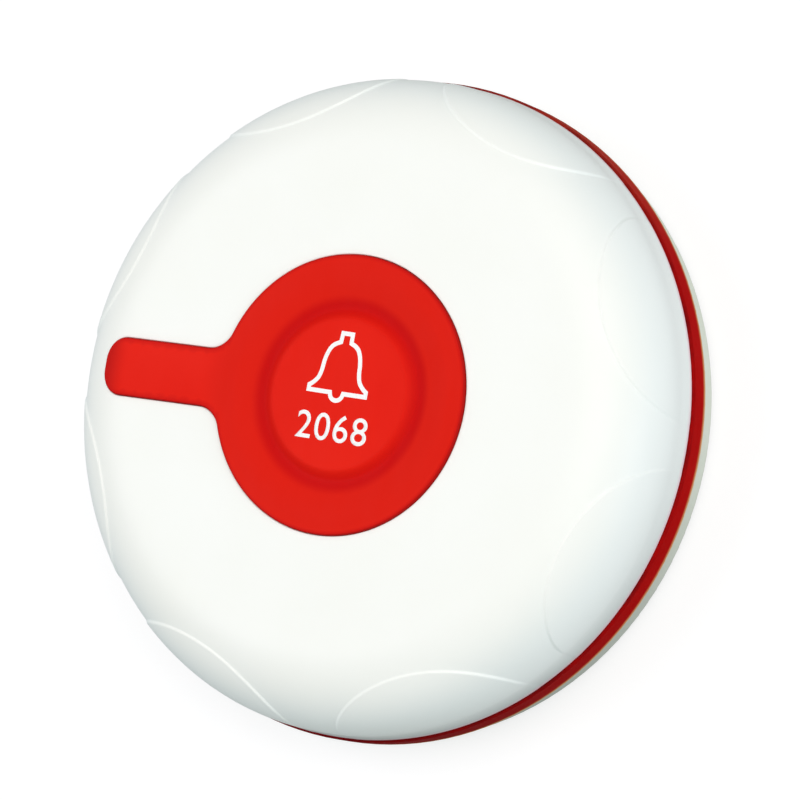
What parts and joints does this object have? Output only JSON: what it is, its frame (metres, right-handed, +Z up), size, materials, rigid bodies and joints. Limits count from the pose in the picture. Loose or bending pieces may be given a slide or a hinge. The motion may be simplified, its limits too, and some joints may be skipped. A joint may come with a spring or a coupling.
{
  "type": "waiter call button",
  "caption": "Round white table call button with a red soft face, a central press pad, a tail over its lamp, a red sealing band and a twist-off mounting plate.",
  "frame": {"origin": "centre of the underside, on the adhesive pad's lower face", "axes": "+Z up along the press axis; -X along the tail of the red face; +Y towards the top of the bell mark"},
  "size_m": [0.0852, 0.0852, 0.022],
  "materials": {
    "shell_white": "smooth satin-gloss ABS",
    "face_red": "satin silicone rubber",
    "gasket_red": "satin rubber",
    "base_ivory": "fine satin ABS",
    "plate_ivory": "fine moulded texture",
    "actuator_white": "moulded",
    "foam_tape": "closed-cell foam",
    "seal_black": "smooth rubber",
    "screw_steel": "zinc plated",
    "battery_steel": "nickel plated",
    "battery_sleeve": "shrink sleeve",
    "contact_nickel": "nickel plated spring steel",
    "board_green": "solder resist",
    "switch_black": "moulded",
    "switch_plate": "stamped",
    "lamp_epoxy": "clear red epoxy",
    "guide_acrylic": "clear acrylic",
    "chip_black": "epoxy moulding",
    "lead_tin": "tinned",
    "can_nickel": "nickel plated can",
    "ceramic_tan": "sintered ceramic",
    "copper_wire": "bare copper"
  },
  "bodies": {
    "housing": {"top_shell": "shell_white", "face_membrane": "face_red", "case_gasket": "gasket_red", "base_shell": "base_ivory", "case_screws": "screw_steel", "battery_can": "battery_steel", "battery_sleeve": "battery_sleeve", "battery_spring": "contact_nickel", "contact_positive": "contact_nickel", "contact_negative": "contact_nickel", "circuit_board": "board_green", "board_screws": "screw_steel", "switch_body": "switch_black", "switch_cover": "switch_plate", "switch_terminals": "lead_tin", "signal_lamp": "lamp_epoxy", "lamp_leads": "lead_tin", "light_guide": "guide_acrylic", "encoder_chip": "chip_black", "chip_leads": "lead_tin", "resonator_can": "can_nickel", "transistor": "chip_black", "capacitors": "ceramic_tan", "resistors": "chip_black", "antenna_loop": "copper_wire"},
    "button": {"button_pad": "face_red", "button_plunger": "actuator_white", "button_web": "face_red"},
    "switch": {"switch_stem": "switch_black", "switch_dome": "contact_nickel"},
    "plate": {"mounting_plate": "plate_ivory", "plate_seal": "seal_black", "adhesive_pad": "foam_tape"}
  },
  "joints": [
    {"name": "button_press", "type": "slide", "parent": "housing", "child": "button", "axis": [0, 0, -1], "range_m": [0, 0.0005], "stiffness_N_per_m": 6000, "deforming": ["button_web"]},
    {"name": "switch_press", "type": "slide", "parent": "housing", "child": "switch", "axis": [0, 0, -1], "range_m": [0, 0.0003], "deforming": ["switch_dome"]},
    {"name": "plate_twist", "type": "hinge", "parent": "housing", "child": "plate", "pos_m": [0, 0, 0.0016], "axis": [0, 0, 1], "range_deg": [0, 25]}
  ],
  "couplings": [
    {"joint": "switch_press", "follows": "button_press", "ratio": 0.6}
  ]
}
